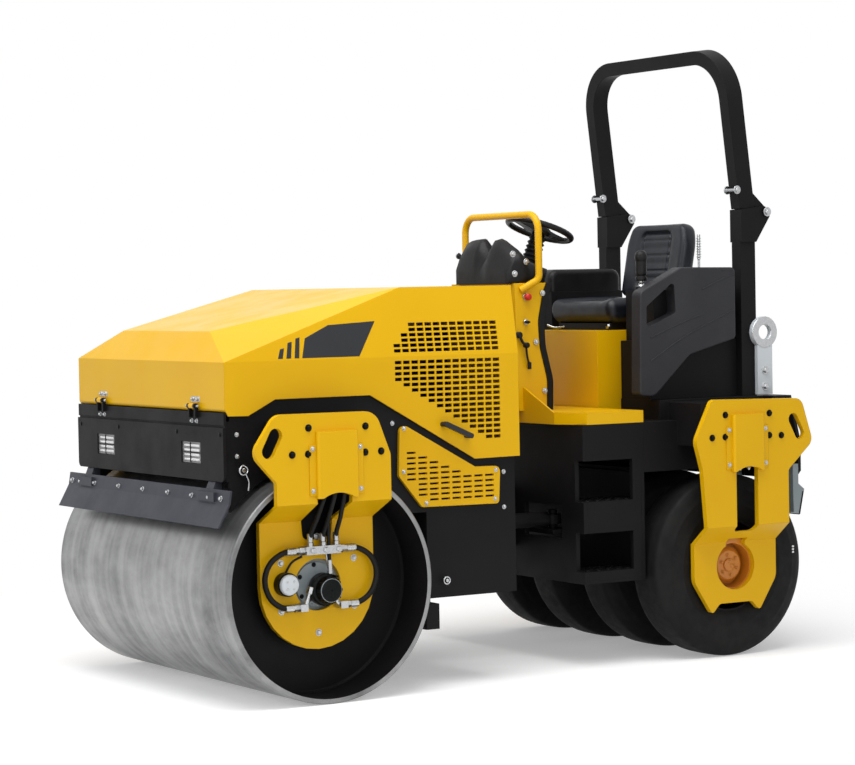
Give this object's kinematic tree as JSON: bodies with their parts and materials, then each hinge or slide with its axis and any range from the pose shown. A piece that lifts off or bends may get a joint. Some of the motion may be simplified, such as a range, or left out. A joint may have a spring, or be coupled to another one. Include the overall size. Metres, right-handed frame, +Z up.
{
  "type": "articulated road roller",
  "caption": "Small articulated road roller: smooth steel drum ahead, twin smooth tyres behind each side, opening hood, operator's seat and folding roll bar.",
  "frame": {"origin": "on the ground under the middle of the machine", "axes": "+X forward, towards the drum; +Y to the operator's left; +Z up"},
  "size_m": [2.863, 1.664, 2.6046],
  "materials": {
    "yellow_paint": "satin",
    "black_paint": "satin",
    "drum_steel": "satin",
    "grey_paint": "matt",
    "orange_paint": "satin",
    "silver_steel": "satin",
    "tyre_rubber": "matt",
    "dark_plastic": "matt",
    "seat_vinyl": "satin",
    "lamp_lens": "gloss",
    "red_lens": "gloss",
    "hose_rubber": "matt"
  },
  "bodies": {
    "rear": {"rear_frame": "black_paint", "yoke_rear_left": "yellow_paint", "yoke_rear_right": "yellow_paint", "yoke_covers_rear": "yellow_paint", "wheel_motor_left": "orange_paint", "wheel_motor_right": "orange_paint", "tyre_scrapers": "grey_paint", "platform": "yellow_paint", "seat_base": "yellow_paint", "seat_frame": "black_paint", "seat_cushion": "seat_vinyl", "seat_backrest": "seat_vinyl", "console": "yellow_paint", "console_shroud": "dark_plastic", "steering_column": "black_paint", "handrail": "yellow_paint", "side_moulding_left": "dark_plastic", "side_moulding_right": "dark_plastic", "console_trim": "hose_rubber", "rear_lamps": "red_lens", "drive_lever": "dark_plastic", "side_tanks": "dark_plastic", "armrest": "dark_plastic", "step_frame": "black_paint", "step_panel_left": "black_paint", "step_panel_right": "black_paint", "rops_posts": "black_paint", "lifting_links": "silver_steel"},
    "front": {"front_frame": "black_paint", "yoke_front_left": "yellow_paint", "yoke_front_right": "yellow_paint", "yoke_covers_front": "yellow_paint", "drum_motor_left": "grey_paint", "drum_motor_right": "grey_paint", "hose_fittings": "silver_steel", "drum_hoses": "hose_rubber", "drop_hoses": "hose_rubber", "front_panel": "black_paint", "headlamps": "lamp_lens", "lower_grille_left": "yellow_paint", "lower_grille_right": "yellow_paint", "engine": "grey_paint", "front_scraper": "grey_paint", "rear_drum_scraper": "black_paint"},
    "hood": {"hood": "yellow_paint", "hood_handles": "dark_plastic"},
    "drum": {"drum": "drum_steel"},
    "wheels_left": {"tyres_left": "tyre_rubber", "wheel_hub_left": "black_paint"},
    "wheels_right": {"tyres_right": "tyre_rubber", "wheel_hub_right": "black_paint"},
    "roll_bar": {"rops_arch": "black_paint"},
    "steering_wheel": {"steering_wheel": "dark_plastic"},
    "steering_barrel": {"steering_barrel": "black_paint"},
    "steering_rod": {"steering_rod": "silver_steel"}
  },
  "joints": [
    {"name": "articulation", "type": "hinge", "parent": "rear", "child": "front", "pos_m": [-0.105, 0, 0.6], "axis": [0, 0, 1], "range_deg": [-30, 30]},
    {"name": "drum_spin", "type": "hinge", "parent": "front", "child": "drum", "pos_m": [0.95, 0, 0.45], "axis": [0, 1, 0], "continuous": true},
    {"name": "left_wheels_spin", "type": "hinge", "parent": "rear", "child": "wheels_left", "pos_m": [-1.04, 0.395, 0.3875], "axis": [0, 1, 0], "continuous": true},
    {"name": "right_wheels_spin", "type": "hinge", "parent": "rear", "child": "wheels_right", "pos_m": [-1.04, -0.395, 0.3875], "axis": [0, 1, 0], "continuous": true},
    {"name": "hood_tilt", "type": "hinge", "parent": "front", "child": "hood", "pos_m": [1.356, 0, 1.15], "axis": [0, 1, 0], "range_deg": [0, 50]},
    {"name": "roll_bar_fold", "type": "hinge", "parent": "rear", "child": "roll_bar", "pos_m": [-1.37, 0, 1.89], "axis": [0, -1, 0], "range_deg": [0, 150]},
    {"name": "steering_wheel_turn", "type": "hinge", "parent": "rear", "child": "steering_wheel", "pos_m": [-0.55, 0, 1.83], "axis": [-0.342, 0, 0.9397], "continuous": true},
    {"name": "cylinder_swing", "type": "hinge", "parent": "rear", "child": "steering_barrel", "pos_m": [-0.39, 0.3, 0.6], "axis": [0, 0, 1], "range_deg": [-15, 15]},
    {"name": "cylinder_stroke", "type": "slide", "parent": "steering_barrel", "child": "steering_rod", "axis": [0.996, -0.0889, 0], "range_m": [-0.15, 0.15]}
  ],
  "couplings": [
    {"joint": "cylinder_swing", "follows": "articulation", "ratio": 0.4476},
    {"joint": "cylinder_stroke", "follows": "articulation", "m_per_rad": -0.2735}
  ]
}
